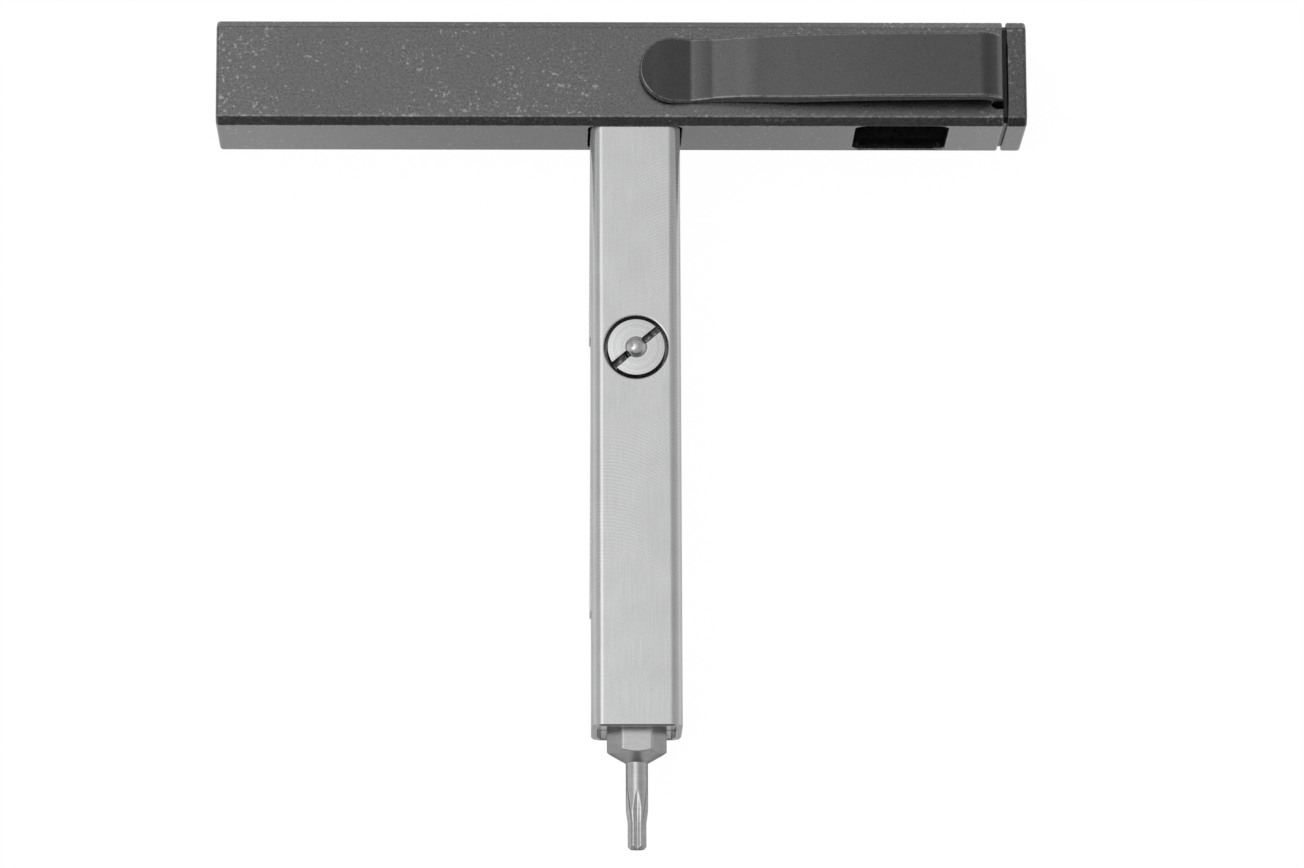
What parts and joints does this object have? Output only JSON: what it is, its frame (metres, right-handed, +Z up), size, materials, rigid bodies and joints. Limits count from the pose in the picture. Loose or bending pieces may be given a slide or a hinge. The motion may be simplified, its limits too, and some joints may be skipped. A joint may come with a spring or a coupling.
{
  "type": "bit driver",
  "caption": "Pocket bit driver: a square tube handle with a milled clip, and a square stem that plugs into the handle crosswise and holds a hexagonal insert bit.",
  "frame": {"origin": "on the sleeve's back face, under the axis of the stem", "axes": "+X along the sleeve towards its cap, the stem points along -Y, +Z up out of the face that carries the clip"},
  "size_m": [0.0999, 0.1024, 0.0174],
  "materials": {
    "stonewashed_metal": "stonewashed grey light metal, such as titanium, with fine random nicks",
    "clip_metal": "bead blasted grey light metal, darker than the sleeve",
    "stem_steel": "pale satin steel with faint arcs left by the milling cutter",
    "core_steel": "machined steel",
    "bit_steel": "hardened tool steel, fine ground",
    "ball_steel": "polished bearing steel",
    "bright_plating": "bright nickel plating",
    "screw_steel": "blackened steel"
  },
  "bodies": {
    "handle": {"sleeve": "stonewashed_metal", "end_block": "stonewashed_metal", "pocket_clip": "clip_metal", "end_cap": "stonewashed_metal", "cap_screw": "screw_steel"},
    "stem": {"stem_tube": "stem_steel", "stem_core": "core_steel", "socket_magnet": "bright_plating", "store_magnet": "bright_plating", "spare_bit": "bit_steel", "detent_plug": "stem_steel", "detent_spring": "bright_plating"},
    "detent_ball": {"detent_ball": "ball_steel"},
    "driver_bit": {"driver_bit": "bit_steel"}
  },
  "joints": [
    {"name": "stem_slide", "type": "slide", "parent": "handle", "child": "stem", "axis": [0, -1, 0], "range_m": [0, 0.025]},
    {"name": "bit_slide", "type": "slide", "parent": "stem", "child": "driver_bit", "axis": [0, -1, 0], "range_m": [0, 0.016]},
    {"name": "ball_press", "type": "slide", "parent": "stem", "child": "detent_ball", "axis": [0, 0, -1], "range_m": [0, 0.0008], "stiffness_N_per_m": 300, "springref_m": -0.002, "deforming": ["detent_spring"]}
  ]
}
